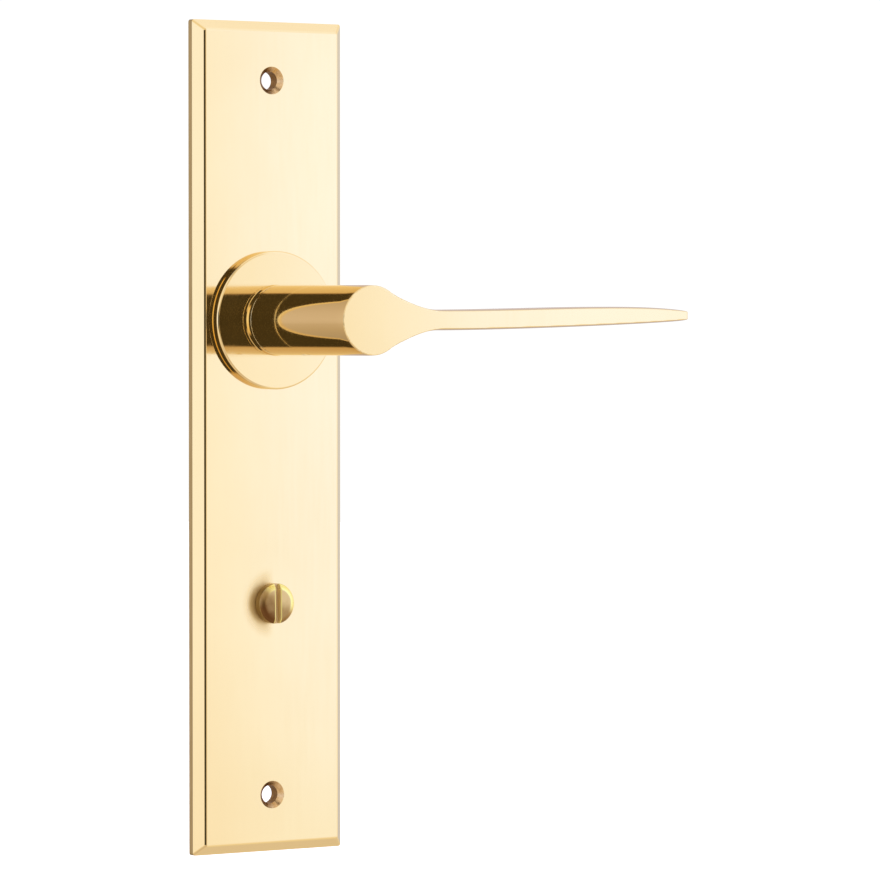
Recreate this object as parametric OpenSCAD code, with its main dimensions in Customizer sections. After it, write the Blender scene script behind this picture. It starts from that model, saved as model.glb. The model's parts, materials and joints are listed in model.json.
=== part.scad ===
// Lever handle on a long backplate, with a coin-slot emergency release.
// Origin: where the spindle's axis crosses the door's face. The plate's front faces -Y, the lever
// points along +X and the plate stands along Z.

/* [Backplate] */
// Height of the plate
plate_h = 240.6; // [220:0.1:260]
// Width of the plate
plate_w = 50.5; // [48:0.1:60]
// Thickness of the plate
plate_t = 4.7; // [4.2:0.1:5]
// Width of the bevel, in the plane of the plate
bevel_w = 2.75; // [1.5:0.05:4]
// Depth of the bevel, into the plate
bevel_d = 2.7; // [1:0.1:2.9]
// Radius that softens the edge between the face and the bevel
bevel_edge_r = 1.2; // [0.2:0.1:1.4]
// Distance from the plate's top edge down to the spindle's axis
axis_from_top = 86.4; // [80:0.1:95]

/* [Fixing holes] */
// Distance from the top edge to the top fixing hole
fix_from_top = 17.1; // [14:0.1:20]
// Distance from the bottom edge to the bottom fixing hole
fix_from_bottom = 16.6; // [14:0.1:20]
// Diameter of the fixing hole
fix_d = 5.3; // [4:0.1:5.5]
// Diameter of its countersink at the face
fix_csk_d = 8; // [7.2:0.1:9]

/* [Rose] */
// Diameter of the rose
rose_d = 40; // [39:0.5:42]
// Height of the rose above the plate's face
rose_h = 2.65; // [2.6:0.05:3]
// Height of the collar above the plate's face
collar_h = 4.7; // [4.6:0.1:6]
// Width of the collar's sloping foot
collar_foot_w = 0.35; // [0.2:0.05:1.2]
// Height of the collar's sloping foot
collar_foot_h = 0.9; // [0.4:0.1:1.8]

/* [Lever] */
// Diameter of the neck at the collar
neck_d = 20.2; // [19.8:0.1:20.4]
// Diameter of the neck at the front
neck_front_d = 19.9; // [19:0.1:20]
// Distance from the door's face to the lever's flat front, at the tip
lever_proj = 60.5; // [56:0.5:64]
// Angle of the flat front to the plate: the tip stands out furthest
front_tilt = 1.1; // [0:0.1:1.5]
// Distance from the spindle's axis to the lever's tip
lever_len = 109.4; // [108:0.2:120]
// Depth of the blade at its root, measured back from the flat front
blade_root_depth = 17; // [14:0.5:19]
// Depth of the blade near its tip
blade_tip_depth = 12; // [8:0.5:13]
// Angle that the lever turns down through
lever_travel = 45; // [40:1:50]

/* [Spindle] */
// Side of the square spindle
spindle_w = 8; // [7.6:0.1:8]
// Length of spindle behind the door's face
spindle_out = 30; // [20:1:60]

/* [Release turn] */
// Distance from the spindle's axis down to the release turn
release_drop = 82; // [78:0.5:85]
// Diameter of the turn's head
turn_d = 11.7; // [11.4:0.1:12.6]
// Height of the turn's head
turn_h = 3.6; // [3:0.1:4]
// Width of the coin slot
slot_w = 1.7; // [1.2:0.1:2]
// Depth of the coin slot
slot_depth = 1.8; // [1:0.1:2.2]
// Side of the square tail bar
tail_w = 5; // [5:0.1:5.5]
// Length of tail bar behind the door's face
tail_out = 30; // [20:1:60]

/* [Hidden] */
$fn = 96;

arc_steps = 10;      // points along each small arc of an outline
eps = 0.01;          // how far a cutter passes the face that it cuts
run_gap = 0.03;      // radial clearance of a running fit
end_gap = 0.03;      // axial clearance of a running fit
slip_gap = 0.05;     // clearance of a part that slides into place

plate_mid = axis_from_top - plate_h / 2;
fix_top = axis_from_top - fix_from_top;
fix_bottom = axis_from_top - plate_h + fix_from_bottom;
fix_csk_depth = (fix_csk_d - fix_d) / 2;

// Spring case in the rose, which opens to the back. Each height here and below is measured forwards
// from the door's face.
cover_r = 22;
cover_t = 1.2;
cover_hole_r = 8.3;
spigot_r = 18.5;
spigot_flats = 34;
case_r = 15;
case_top = 5.6;
rose_edge_r = 0.6;
rose_foot = 0.3;

// Shank of the lever, which turns in the bush
shank_r = 7.5;
shank_end = 0.5;
shank_flats = 12.8;
collar_r = neck_d / 2;
collar_top = plate_t + collar_h;
bush_r = 9;
bush_back = 3.55;
washer_t = 0.25;
neck_back = collar_top + washer_t + end_gap;
socket_w = spindle_w + 2 * slip_gap;
socket_end = 40.5;
spindle_in = socket_end - 0.5;
grub_r = 2.5;
grub_h = 26;
grub_len = 5.4;
grub_socket_r = 1.45;
washer_in = 0.35;    // how far the thrust washer's rim lies inside the collar's
neck_chamfer = 0.15;

// Circlips: the gap between their ends, and the eared ends
clip_gap_angle = 14;
clip_ear_angle = 24;
clip_ear_offset = 0.35;

// Circlip of the shank
clip_t = 1;
clip_h = 1.5;
clip_r = 8.9;
clip_groove_r = 6.95;
clip_ear_r = 1.4;
clip_ear_hole_r = 0.7;

// Driver and stops, in the rose's case. Angles run anticlockwise, as seen from the front.
driver_h = 2.55;
driver_t = 0.95;
driver_r = 10.9;
arm_w = 4;
arm_r = 14.7;
arm_rest = 90 + lever_travel / 2;
stop_r = 1;
stop_ring = 13.9;
stop_gap = 0.02;
stop_offset = asin((arm_w / 2 + stop_r + stop_gap) / stop_ring);
stop_angles = [arm_rest + stop_offset, arm_rest - lever_travel - stop_offset];
pin_back = cover_t + slip_gap;
pin_front = case_top + 0.6;
tab_in_r = 9.15;
tab_out_r = 9.5;
tab_top = 5.35;
tab_angle = 10;

// Spiral spring: its inner end pulls on the driver's tab, its outer end on the anchor pin.
strip_t = 0.9;
strip_h = 3.6;
strip_w = 1.8;
spiral_in_r = 10.05;
spiral_pitch = 1.2;
spiral_turns = 2.2;
spiral_step = 6;
spiral_end = 270;
spiral_start = spiral_end - 360 * spiral_turns;
hook_end = 0.5;      // how far the outer hook reaches past the anchor pin's ring
anchor_r = 0.8;
anchor_ring = 14;
anchor_angle = spiral_end - asin((anchor_r + strip_t / 2) / anchor_ring);

// Screws of the cover
screw_ring = 16.75;
screw_r = 1;
screw_head_r = 1.9;
screw_len = 4;
screw_hole_len = 4.4;
screw_slot_w = 0.5;
screw_slot_depth = 0.55;

// Outline of the lever, seen from the front: z values of the blade's two edges, and how far each
// curve's handles reach along the blade
disc_r = neck_front_d / 2;
shoulder_angle = 59;
shoulder_pull = 6.5;
root_x = 24;
root_top = 3.05;
root_bottom = -2.85;
root_pull = 31;
tip_x = lever_len - 2.4;
tip_top = 3.1;
tip_bottom = -0.3;
tip_pull = 20;
tip_bulge = 0.3;
top_crown = 1.9;
bottom_crown = -1;
bottom_root_pull = 22;
bottom_tip_pull = 14;

// Outline of the lever, seen from above
sweep_h = 12;        // how far back the blade's underside sweeps into the neck
sweep_x = 20;
back_softness = 0.4;
nose = 5;
nose_chamfer = 1.5;

// Release turn, with its fittings in a pocket of the plate's back
turn_gap = 0.1;
turn_shaft_r = 4;
turn_shaft_end = -3.5;
turn_flats = 6.4;
turn_end_chamfer = 0.3;
turn_foot_chamfer = 0.2;
turn_dome_w = 2;
turn_dome_h = 1;
pocket_r = 7;
pocket_d = 2.8;
pocket_tab_r = 9.6;
release_bush_r = 4.8;
release_flange_r = 6.4;
release_flange_t = 0.5;
wave_t = 0.25;
wave_amp = 0.11;
wave_r = 6.3;
wave_gap = 0.2;
wave_count = 3;
wave_steps = 48;
stop_washer_t = 0.75;
stop_washer_h = 1.06;
stop_washer_r = 6.5;
stop_tab_r = 9.3;
stop_tab_w = 3;
release_travel = 90;
stop_tab_rest = 45;
release_clip_t = 0.8;
release_clip_h = 0.2;
release_clip_r = 4.9;
release_groove_r = 3.6;
release_ear_r = 1;
release_ear_hole_r = 0.5;
stop_tab_half = asin((stop_tab_w / 2 + stop_gap) / stop_washer_r);
tail_spigot_r = 2;
tail_spigot_in = 3;
tail_gap = 0.1;
cross_pin_r = 0.8;
cross_pin_h = -1.9;
cross_pin_inset = 0.2;
bar_chamfer = 0.6;

// Points of a cubic curve from a to d, shaped by b and c
function bezier(a, b, c, d, steps = arc_steps) = [for (i = [0 : steps]) let (t = i / steps, u = 1 - t)
    u*u*u * a + 3*u*u*t * b + 3*u*t*t * c + t*t*t * d];
// Points of an arc about [x, y]
function arc(x, y, r, from, to, steps = arc_steps) = [for (i = [0 : steps])
    let (a = from + (to - from) * i / steps) [x + r * cos(a), y + r * sin(a)]];
function mirrored(points) = [for (i = [len(points) - 1 : -1 : 0]) [points[i][0], -points[i][1]]];
function polar(r, a) = [r * cos(a), r * sin(a)];

// Turns a shape drawn as seen from the front, with its heights h above the door's face along its
// own Z, into place
module from_front(drop = 0) translate([0, 0, -drop]) rotate([90, 0, 0]) children();

module slab(h, t) translate([0, 0, h]) linear_extrude(t) children();

// Bar with a square section and bevelled ends, from h to h + len
module square_bar(w, h, len) {
    half = w / 2;
    outline = [[-half, h + bar_chamfer], [-half + bar_chamfer, h], [half - bar_chamfer, h],
               [half, h + bar_chamfer], [half, h + len - bar_chamfer],
               [half - bar_chamfer, h + len], [-half + bar_chamfer, h + len],
               [-half, h + len - bar_chamfer]];
    intersection() {
        rotate([90, 0, 0]) linear_extrude(2 * w, center = true) polygon(outline);
        rotate([90, 0, 90]) linear_extrude(2 * w, center = true) polygon(outline);
    }
}

// Round section with two flats, which keys a washer to its shaft
module double_d(r, flats) intersection() {
    circle(r);
    square([flats, 2 * r + 1], center = true);
}

// Cutter that leaves two flats on a round bar of radius r
module flats_cutter(r, flats) difference() {
    circle(2 * r);
    double_d(3 * r, flats);
}

// Cutter that turns a round bar of radius r down to r_left
module groove_cutter(r, r_left) difference() {
    circle(2 * r);
    circle(r_left);
}

// External circlip with two eared ends, its gap towards angle 270
module circlip(r_in, r_out, t, h, ear_r, hole_r) slab(h, t) difference() {
    ears = [for (side = [-1, 1]) polar(r_in + ear_r + clip_ear_offset, 270 + side * clip_ear_angle)];
    union() {
        circle(r_out);
        for (ear = ears) translate(ear) circle(ear_r);
    }
    circle(r_in);
    polygon([[0, 0], polar(2 * r_out, 270 - clip_gap_angle), polar(2 * r_out, 270 + clip_gap_angle)]);
    for (ear = ears) translate(ear) circle(hole_r);
}

// Half of the plate's cross-section: half width against height
function bevel_half(half) = let (
        slope = atan2(bevel_w, bevel_d), r = bevel_edge_r, x = half - bevel_w - r * tan((90 - slope) / 2))
    concat([[half, 0], [half, plate_t - bevel_d]], arc(x, plate_t - r, r, slope, 90));

// Bar with the plate's bevelled cross-section, its length along its own Z
module bevelled_bar(width, length) {
    half = bevel_half(width / 2);
    linear_extrude(length, center = true)
        polygon(concat(half, [for (i = [len(half) - 1 : -1 : 0]) [-half[i][0], half[i][1]]]));
}

// Sector that the stop washer's tab sweeps
module tab_pocket() intersection() {
    circle(pocket_tab_r);
    polygon([[0, 0], polar(2 * pocket_tab_r, stop_tab_rest + stop_tab_half),
             polar(2 * pocket_tab_r, stop_tab_rest - release_travel / 2),
             polar(2 * pocket_tab_r, stop_tab_rest - release_travel - stop_tab_half)]);
}

module backplate() color([0.86, 0.66, 0.3]) difference() {
    translate([0, 0, plate_mid]) intersection() {
        mirror([0, 1, 0]) bevelled_bar(plate_w, 2 * plate_h);
        rotate([180, -90, 0]) bevelled_bar(plate_h, 2 * plate_w);
    }
    from_front() {
        slab(-eps, plate_t + 1) double_d(spigot_r, spigot_flats);
        slab(-eps, cover_t + eps) circle(cover_r + slip_gap);
    }
    for (z = [fix_top, fix_bottom]) from_front(-z) {
        slab(-eps, plate_t + 1) circle(fix_d / 2);
        translate([0, 0, plate_t - fix_csk_depth])
            cylinder(h = fix_csk_depth + eps, r1 = fix_d / 2, r2 = fix_csk_d / 2 + eps);
    }
    from_front(release_drop) {
        slab(-eps, plate_t + 1) circle(release_bush_r);
        slab(-eps, pocket_d + eps) circle(pocket_r);
        slab(-eps, pocket_d + eps) tab_pocket();
    }
}

module rose() color([0.88, 0.68, 0.32]) from_front() difference() {
    rotate_extrude() polygon(concat(
        [[case_r, cover_t], [spigot_r, cover_t], [spigot_r, plate_t], [rose_d/2 - rose_foot, plate_t],
         [rose_d / 2, plate_t + rose_foot]],
        arc(rose_d / 2 - rose_edge_r, plate_t + rose_h - rose_edge_r, rose_edge_r, 0, 90),
        [[collar_r + collar_foot_w, plate_t + rose_h], [collar_r, plate_t + rose_h + collar_foot_h]],
        [[collar_r, collar_top], [bush_r, collar_top], [bush_r, case_top], [case_r, case_top]]));
    slab(-eps, plate_t + eps) flats_cutter(spigot_r, spigot_flats);
    at_screws() slab(cover_t - eps, screw_hole_len) circle(screw_r);
    for (a = stop_angles) pin_hole(stop_ring, a, stop_r);
    pin_hole(anchor_ring, anchor_angle, anchor_r);
}

module pin_hole(ring, a, r) translate(polar(ring, a))
    slab(case_top - eps, pin_front - case_top + eps) circle(r);

module at_screws() for (a = [45 : 90 : 315]) translate(polar(screw_ring, a)) rotate(a) children();

// Seen from the front: disc, shoulders, and a thin blade that rises a little towards its tip
module lever_outline() {
    top_edge = bezier([root_x, root_top], [root_x + root_pull, root_top],
                      [tip_x - tip_pull, tip_top + top_crown], [tip_x, tip_top]);
    tip = bezier([tip_x, tip_top], [lever_len + tip_bulge, tip_top - 3 * tip_bulge],
                 [lever_len + tip_bulge, tip_bottom + 2 * tip_bulge], [tip_x, tip_bottom]);
    bottom_edge = bezier([tip_x, tip_bottom], [tip_x - bottom_tip_pull, tip_bottom + bottom_crown],
                         [root_x + bottom_root_pull, root_bottom], [root_x, root_bottom]);
    polygon(concat(arc(0, 0, disc_r, 360 - shoulder_angle, shoulder_angle, 48), shoulder(root_top),
                   top_edge, tip, bottom_edge, mirrored(shoulder(-root_bottom))));
}

// Upper edge that leads from the disc's rim to the blade, which is this far above the middle line
function shoulder(half) = let (start = polar(disc_r, shoulder_angle))
    bezier(start, start + shoulder_pull * [sin(shoulder_angle), -cos(shoulder_angle)],
           [root_x - shoulder_pull, half], [root_x, half]);

// Seen from above: the flat front, the blade's back and its sweep into the neck
module lever_plan() {
    back_root = lever_proj - blade_root_depth;
    back_tip = lever_proj - blade_tip_depth;
    polygon(concat(
        [[0, lever_proj], [0, back_root - sweep_h]],
        bezier([disc_r - back_softness, back_root - sweep_h], [disc_r, back_root - sweep_h / 4],
               [disc_r + sweep_x / 3, back_root - back_softness], [disc_r + sweep_x, back_root]),
        bezier([lever_len - 2 * nose, back_tip], [lever_len - nose, back_tip + back_softness],
               [lever_len, back_tip + nose / 2], [lever_len, back_tip + nose]),
        [[lever_len, lever_proj - nose_chamfer], [lever_len - nose_chamfer, lever_proj]]));
}

module neck_profile() polygon(
    [[0, neck_back], [collar_r - neck_chamfer, neck_back], [collar_r, neck_back + neck_chamfer],
     [disc_r, lever_proj], [0, lever_proj]]);

module lever() color([0.9, 0.7, 0.32]) from_front() difference() {
    union() {
        rotate_extrude() neck_profile();
        slab(shank_end, neck_back - shank_end + eps) circle(shank_r);
        intersection() {
            slab(lever_proj - blade_root_depth - sweep_h, blade_root_depth + sweep_h) difference() {
                lever_outline();
                translate([-2 * disc_r, -2 * disc_r]) square([2 * disc_r, 4 * disc_r]);
            }
            translate([0, 2 * disc_r, 0]) rotate([90, 0, 0]) linear_extrude(4 * disc_r) lever_plan();
        }
    }
    // What lies in front of the tilted flat front
    translate([lever_len, 0, lever_proj]) rotate([0, -front_tilt, 0])
        translate([-2 * lever_len, -lever_len, 0]) cube([3 * lever_len, 2 * lever_len, lever_len]);
    slab(shank_end - eps, bush_back - shank_end - slip_gap) flats_cutter(shank_r, shank_flats);
    slab(clip_h - slip_gap, clip_t + 2 * slip_gap) groove_cutter(shank_r, clip_groove_r);
    slab(shank_end - eps, socket_end - shank_end) square(socket_w, center = true);
    translate([0, 0, grub_h]) rotate([90, 0, 0]) cylinder(h = 2 * disc_r, r = grub_r);
}

module thrust_washer() color([0.12, 0.12, 0.12]) from_front() slab(collar_top, washer_t) difference() {
    circle(collar_r - washer_in);
    circle(shank_r + 2 * slip_gap);
}

module lever_bush() color([0.93, 0.92, 0.86]) from_front()
    slab(bush_back, collar_top - bush_back) difference() {
        circle(bush_r);
        circle(shank_r + run_gap);
    }

module spring_driver() color([0.55, 0.56, 0.58]) from_front() {
    slab(driver_h, driver_t) difference() {
        union() {
            circle(driver_r);
            intersection() {
                circle(arm_r);
                rotate(arm_rest) translate([0, -arm_w / 2]) square([arm_r, arm_w]);
            }
        }
        double_d(shank_r + run_gap, shank_flats + 2 * run_gap);
    }
    slab(driver_h, tab_top - driver_h) intersection() {
        difference() {
            circle(tab_out_r);
            circle(tab_in_r);
        }
        polygon([[0, 0], polar(2 * tab_out_r, spiral_start),
                 polar(2 * tab_out_r, spiral_start + tab_angle)]);
    }
}

// One long outline: the strip's outer edge out along the spiral and its inner edge back
module return_spring() color([0.35, 0.38, 0.42]) from_front() slab(strip_h, strip_w) {
    turns = [for (a = [spiral_start : spiral_step : spiral_end])
        [spiral_in_r + spiral_pitch * (a - spiral_start) / 360, a]];
    last = len(turns) - 1;
    hook_in = asin(strip_t / tab_in_r);
    hook_out = asin(strip_t / anchor_ring);
    polygon(concat(
        [polar(tab_in_r, spiral_start - hook_in)],
        [polar(turns[0][0] + strip_t / 2, turns[0][1] - hook_in)],
        [for (p = turns) polar(p[0] + strip_t / 2, p[1])],
        [for (a = [spiral_end, spiral_end + hook_out]) polar(anchor_ring + hook_end, a)],
        [polar(turns[last][0] - strip_t / 2, spiral_end + hook_out)],
        [for (i = [last : -1 : 0]) polar(turns[i][0] - strip_t / 2, turns[i][1])],
        [polar(tab_in_r, spiral_start)]));
}

module case_pin(ring, a, r) from_front() translate(polar(ring, a))
    slab(pin_back, pin_front - pin_back) circle(r);

module spring_anchor_pin() color([0.62, 0.63, 0.65]) case_pin(anchor_ring, anchor_angle, anchor_r);

module rest_stop_pin() color([0.62, 0.63, 0.65]) case_pin(stop_ring, stop_angles[0], stop_r);

module end_stop_pin() color([0.62, 0.63, 0.65]) case_pin(stop_ring, stop_angles[1], stop_r);

module lever_circlip() color([0.3, 0.31, 0.33]) from_front()
    circlip(clip_groove_r, clip_r, clip_t, clip_h, clip_ear_r, clip_ear_hole_r);

module spring_cover() color([0.66, 0.67, 0.69]) from_front() difference() {
    slab(0, cover_t) difference() {
        circle(cover_r);
        circle(cover_hole_r);
    }
    at_screws() screw_body(screw_hole_len, slip_gap);
}

// Countersunk screw with its head's flat at the door's face, all of it larger by gap
module screw_body(length, gap) {
    slab(gap, length) circle(screw_r + gap);
    translate([0, 0, gap])
        cylinder(h = screw_head_r - screw_r, r1 = screw_head_r + gap, r2 = screw_r + gap);
    slab(-eps, gap + 2 * eps) circle(screw_head_r + gap);
}

module cover_screws() color([0.75, 0.75, 0.77]) from_front() at_screws() difference() {
    union() {
        slab(slip_gap, screw_len) circle(screw_r - eps);
        translate([0, 0, slip_gap]) cylinder(h = screw_head_r - screw_r, r1 = screw_head_r, r2 = screw_r);
    }
    slab(-eps, screw_slot_depth) square([3 * screw_head_r, screw_slot_w], center = true);
}

module lever_spindle() color([0.72, 0.73, 0.75]) from_front()
    square_bar(spindle_w, -spindle_out, spindle_out + spindle_in);

module spindle_grub_screw() color([0.25, 0.25, 0.27]) from_front() translate([0, 0, grub_h])
    rotate([90, 0, 0]) difference() {
        translate([0, 0, spindle_w / 2]) cylinder(h = grub_len, r = grub_r - eps);
        translate([0, 0, spindle_w / 2 + grub_len / 2])
            cylinder(h = grub_len, r = grub_socket_r, $fn = 6);
    }

// Cross hole or cross pin through the turn's shaft
module cross_bar(r, length) translate([0, 0, cross_pin_h]) rotate([0, 90, 0])
    cylinder(h = length, r = r, center = true);

// Head with a rounded rim and a slot across it, on a shaft with two flats
module release_turn() color([0.72, 0.55, 0.3]) from_front(release_drop) difference() {
    head_r = turn_d / 2;
    foot = plate_t + turn_gap;
    top = plate_t + turn_h;
    rotate_extrude() polygon(concat(
        [[0, turn_shaft_end], [turn_shaft_r - turn_end_chamfer, turn_shaft_end],
         [turn_shaft_r, turn_shaft_end + turn_end_chamfer], [turn_shaft_r, foot],
         [head_r - turn_foot_chamfer, foot], [head_r, foot + turn_foot_chamfer]],
        bezier([head_r, top - turn_dome_h], [head_r, top - turn_dome_h / 2],
               [head_r - turn_dome_w / 2, top - turn_dome_h / 10], [head_r - turn_dome_w, top]),
        [[0, top]]));
    slab(top - slot_depth, slot_depth + 1) square([slot_w, 2 * turn_d], center = true);
    slab(stop_washer_h - slip_gap, stop_washer_t + 2 * slip_gap)
        flats_cutter(turn_shaft_r, turn_flats);
    slab(release_clip_h - slip_gap, release_clip_t + 2 * slip_gap)
        groove_cutter(turn_shaft_r, release_groove_r);
    slab(turn_shaft_end - eps, tail_spigot_in - turn_shaft_end + 2 * tail_gap)
        circle(tail_spigot_r + run_gap);
    cross_bar(cross_pin_r, 4 * turn_shaft_r);
}

module release_bush() color([0.93, 0.92, 0.86]) from_front(release_drop) difference() {
    union() {
        slab(pocket_d - release_flange_t, release_flange_t) circle(release_flange_r);
        slab(pocket_d - eps, plate_t - pocket_d + eps) circle(release_bush_r);
    }
    slab(-eps, plate_t + 1) circle(turn_shaft_r + run_gap);
}

// Points of a ring about the axis that rises and falls in even waves
function wave_ring(r, h) = [for (i = [0 : wave_steps - 1]) let (a = 360 * i / wave_steps)
    [r * cos(a), r * sin(a), h + wave_amp * sin(wave_count * a)]];

module release_wave_washer() color([0.5, 0.52, 0.55]) from_front(release_drop) {
    r_in = turn_shaft_r + wave_gap;
    mid = (stop_washer_h + stop_washer_t + pocket_d - release_flange_t) / 2;
    n = wave_steps;
    points = concat(wave_ring(r_in, mid - wave_t / 2), wave_ring(wave_r, mid - wave_t / 2),
                    wave_ring(wave_r, mid + wave_t / 2), wave_ring(r_in, mid + wave_t / 2));
    polyhedron(points, [for (k = [0 : 3], i = [0 : n - 1]) let (j = (i + 1) % n, m = (k + 1) % 4)
        [k * n + i, k * n + j, m * n + j, m * n + i]]);
}

module release_stop_washer() color([0.55, 0.56, 0.58]) from_front(release_drop)
    slab(stop_washer_h, stop_washer_t) difference() {
        union() {
            circle(stop_washer_r);
            intersection() {
                circle(stop_tab_r);
                rotate(stop_tab_rest) translate([0, -stop_tab_w / 2]) square([stop_tab_r, stop_tab_w]);
            }
        }
        double_d(turn_shaft_r + run_gap, turn_flats + 2 * run_gap);
    }

module release_circlip() color([0.3, 0.31, 0.33]) from_front(release_drop)
    circlip(release_groove_r, release_clip_r, release_clip_t, release_clip_h, release_ear_r,
            release_ear_hole_r);

module release_tail_bar() color([0.72, 0.73, 0.75]) from_front(release_drop) difference() {
    bar_end = turn_shaft_end - tail_gap;
    union() {
        square_bar(tail_w, -tail_out, tail_out + bar_end);
        slab(bar_end - tail_gap, tail_spigot_in - bar_end) circle(tail_spigot_r);
    }
    cross_bar(cross_pin_r, 4 * turn_shaft_r);
}

module release_cross_pin() color([0.62, 0.63, 0.65]) from_front(release_drop)
    cross_bar(cross_pin_r - eps, 2 * (turn_shaft_r - cross_pin_inset));

backplate();
rose();
lever();
thrust_washer();
lever_bush();
spring_driver();
return_spring();
spring_anchor_pin();
rest_stop_pin();
end_stop_pin();
lever_circlip();
spring_cover();
cover_screws();
lever_spindle();
spindle_grub_screw();
release_turn();
release_bush();
release_wave_washer();
release_stop_washer();
release_circlip();
release_tail_bar();
release_cross_pin();
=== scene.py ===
import json
import math

import bpy
import numpy as np
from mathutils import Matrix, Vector
from mathutils.geometry import tessellate_polygon


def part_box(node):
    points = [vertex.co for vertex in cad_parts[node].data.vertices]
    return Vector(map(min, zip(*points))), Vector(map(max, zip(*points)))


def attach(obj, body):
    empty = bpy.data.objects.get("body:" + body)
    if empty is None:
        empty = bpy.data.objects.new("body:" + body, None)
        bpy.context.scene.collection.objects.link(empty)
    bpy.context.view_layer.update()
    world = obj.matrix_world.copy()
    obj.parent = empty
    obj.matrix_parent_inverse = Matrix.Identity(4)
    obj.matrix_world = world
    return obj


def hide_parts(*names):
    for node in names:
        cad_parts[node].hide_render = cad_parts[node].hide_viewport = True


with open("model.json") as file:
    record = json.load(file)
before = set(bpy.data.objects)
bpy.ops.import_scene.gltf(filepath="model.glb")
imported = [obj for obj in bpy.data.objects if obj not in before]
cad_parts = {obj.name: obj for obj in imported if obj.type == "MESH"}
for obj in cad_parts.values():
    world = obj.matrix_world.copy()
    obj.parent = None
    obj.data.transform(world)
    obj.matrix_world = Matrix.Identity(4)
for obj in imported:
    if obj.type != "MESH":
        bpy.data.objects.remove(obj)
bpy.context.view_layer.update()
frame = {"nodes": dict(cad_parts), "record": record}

# Lengths are in millimetres until a mesh is made. Shapes are drawn as seen from the front: x to the
# right, z up, and h the height in front of the door's face, which is -Y in the frame.
MM = 0.001
PLAIN = 32       # sides of a small hidden hole
FINE = 96        # sides of a small round edge
ROUND = 256      # sides of a large one
POLISHED, MACHINED, BORED, DRILLED = range(4)      # the brass pieces' materials, in this order


def cad_box_mm(node):
    """Lowest and highest (x, h, z) of a CAD node."""
    low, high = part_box(node)
    return (low.x / MM, -high.y / MM, low.z / MM), (high.x / MM, -low.y / MM, high.z / MM)


# ---------------------------------------------------------------- sizes, from the frame

PLATE_LOW, PLATE_HIGH = cad_box_mm("backplate")
LEVER_LOW, LEVER_HIGH = cad_box_mm("lever")
TURN_LOW, TURN_HIGH = cad_box_mm("release_turn")
ROSE_R, COLLAR_TOP, _ = cad_box_mm("rose")[1]
COVER_R, COVER_T, _ = cad_box_mm("spring_cover")[1]

PLATE_T = PLATE_HIGH[1]
LEVER_PROJ = LEVER_HIGH[1]
LEVER_LEN = LEVER_HIGH[0]
COLLAR_R = -LEVER_LOW[0]
TURN_Z = (TURN_LOW[2] + TURN_HIGH[2]) / 2
TURN_R = TURN_HIGH[0]
TURN_TOP = TURN_HIGH[1]

mounts = {m["name"]: m for m in frame["record"]["mounts"]}
fixing = mounts["fixing_holes"]
FIX_R = fixing["dims"]["hole_r_mm"]
FIX_MID = fixing["pos_m"][2] / MM
FIX_Z = [FIX_MID + side * fixing["dims"]["spacing_y_mm"] / 2 for side in (-1, 1)]

# ---------------------------------------------------------------- sizes of the CAD parts' details

BEVEL_W, BEVEL_D, BEVEL_EDGE_R = 2.75, 2.7, 1.2
FIX_CSK_R, FIX_CSK_TILT, FIX_EDGE_R = 4.0, 45, 0.12
COVER_GAP = 0.05
SPIGOT_R, SPIGOT_HALF = 18.5, 17.0
CASE_R, CASE_TOP, BUSH_R = 15.0, 5.6, 9.0
ROSE_TOP, ROSE_FOOT, ROSE_EDGE_R = PLATE_T + 2.65, 0.3, 0.6
COLLAR_FOOT_W, COLLAR_FOOT_H, COLLAR_LIP = 0.18, 0.9, 0.05
ROSE_FACE_TILT = 0.7
SCREW_RING, SCREW_R, SCREW_END = 16.75, 1.0, 5.6
SCREW_ANGLES = (45, 135, 225, 315)
STOP_RING, STOP_R, ANCHOR_RING, ANCHOR_R = 13.9, 1.0, 14.0, 0.8
STOP_ANGLES, ANCHOR_ANGLE = (124.99, 55.01), 264.87
PIN_END = 6.2
RELEASE_BUSH_R, POCKET_D, POCKET_R, POCKET_TAB_R = 4.8, 2.8, 7.0, 9.6
POCKET_TAB_ANGLES = (-58.5, 58.5)
SHANK_R, SHANK_END, SHANK_FLAT, SHANK_EDGE_R = 7.5, 0.5, 6.4, 0.2
FLATS_TOP, FLAT_EDGE_R = 3.5, 0.1
NECK_BACK, NECK_FRONT_R, NECK_EDGE_R = COLLAR_TOP + 0.28, 9.95, 0.06
CLIP_H, CLIP_T, CLIP_GROOVE_R = 1.45, 1.1, 6.95
SOCKET_HALF, SOCKET_END, SOCKET_EDGE_R = 4.05, 40.5, 0.1
GRUB_H, GRUB_R, GRUB_EDGE_R = 26.0, 2.5, 0.15
FRONT_TILT, TIP_BEVEL = 1.1, 1.1
TURN_SHAFT_R, TURN_SHAFT_END, TURN_FLAT, TURN_SHAFT_EDGE_R = 4.0, -3.5, 3.2, 0.3
TURN_FOOT, DOME_W, DOME_H, DOME_EDGE_R = PLATE_T + 0.1, 2.0, 1.0, 0.12
TURN_WASHER_H, TURN_WASHER_T = 1.01, 0.85
TURN_CLIP_H, TURN_CLIP_T, TURN_GROOVE_R = 0.15, 0.9, 3.6
SLOT_HALF, SLOT_DEPTH, SLOT_EDGE_R = 0.85, 1.8, 0.25
TAIL_HOLE_R, TAIL_HOLE_END = 2.03, 3.2
PIN_HOLE_R, PIN_HOLE_H, HOLE_EDGE_R = 0.8, -1.9, 0.05

# ---------------------------------------------------------------- mesh building


def polar(r, degrees):
    a = math.radians(degrees)
    return r * math.cos(a), r * math.sin(a)


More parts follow.
